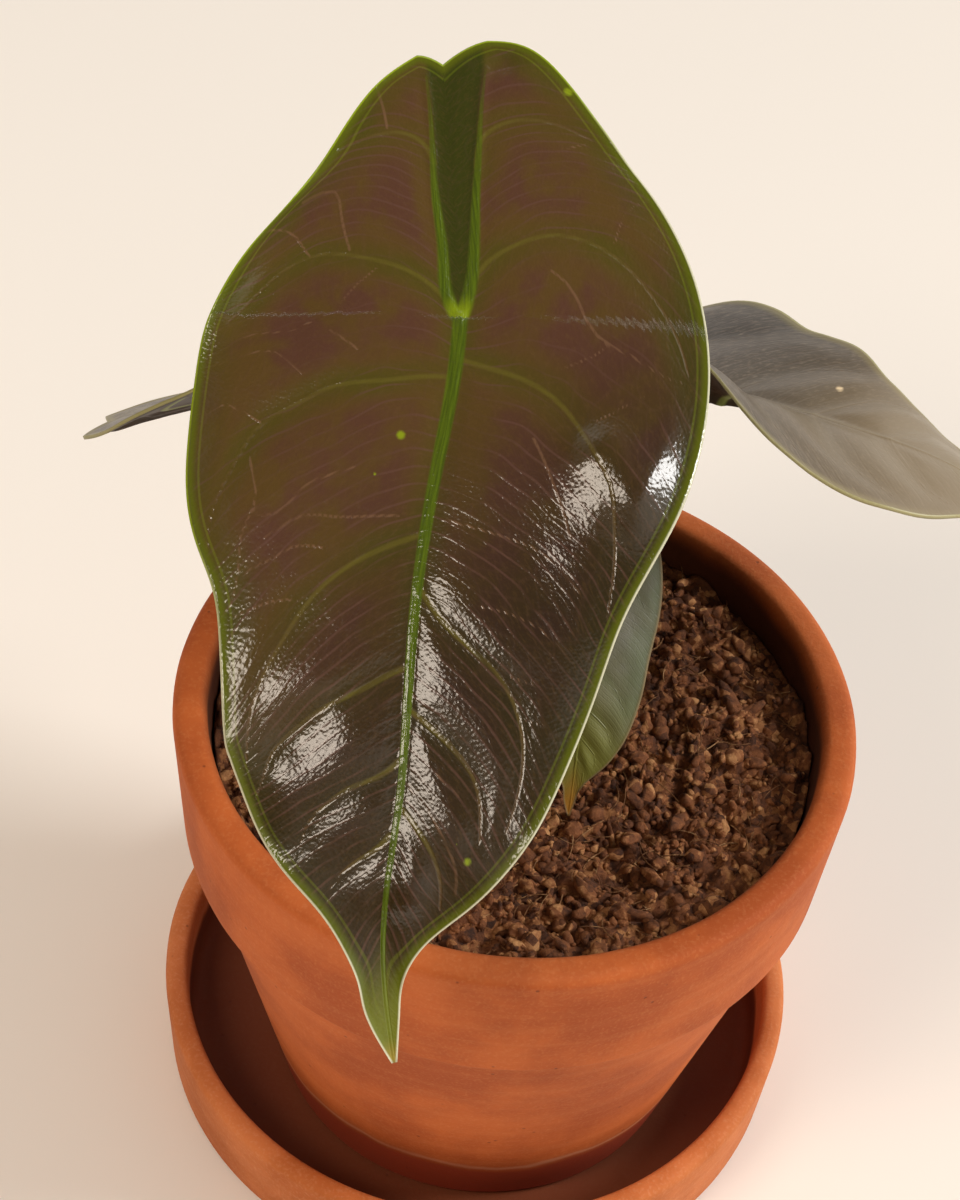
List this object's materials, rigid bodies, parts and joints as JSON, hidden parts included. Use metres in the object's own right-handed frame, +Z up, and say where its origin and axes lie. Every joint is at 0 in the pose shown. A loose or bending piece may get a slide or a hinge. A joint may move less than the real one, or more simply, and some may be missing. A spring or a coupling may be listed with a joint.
{
  "type": "potted alocasia azlanii",
  "caption": "Alocasia azlanii with dark bronze, green-edged leaves in a round terracotta pot standing on a terracotta saucer.",
  "frame": {"origin": "centre of the saucer's flat underside, where it stands on the table", "axes": "+Z up along the saucer's axis; -Y towards the viewer that the main leaf faces; +X to that viewer's right"},
  "size_m": [0.1841, 0.1748, 0.2194],
  "materials": {
    "pot_clay": "matt fired terracotta",
    "saucer_clay": "matt fired terracotta, a little paler",
    "potting_mix": "rough dark peat and coir",
    "stem_bark": "rough brown with leaf scars",
    "stalk_green": "smooth satin green",
    "leaf_bronze": "glossy, finely wrinkled bronze with green veins and a pale edge",
    "leaf_grey": "satin grey-brown with a pale green edge",
    "leaf_young": "satin grey-green, yellow-green to orange at the tip"
  },
  "bodies": {
    "root": {"saucer": "saucer_clay", "pot": "pot_clay", "soil": "potting_mix", "stem": "stem_bark", "main_petiole": "stalk_green", "back_petiole": "stalk_green", "small_petiole": "stalk_green", "main_blade": "leaf_bronze", "back_blade": "leaf_grey", "small_blade": "leaf_young"}
  },
  "joints": []
}
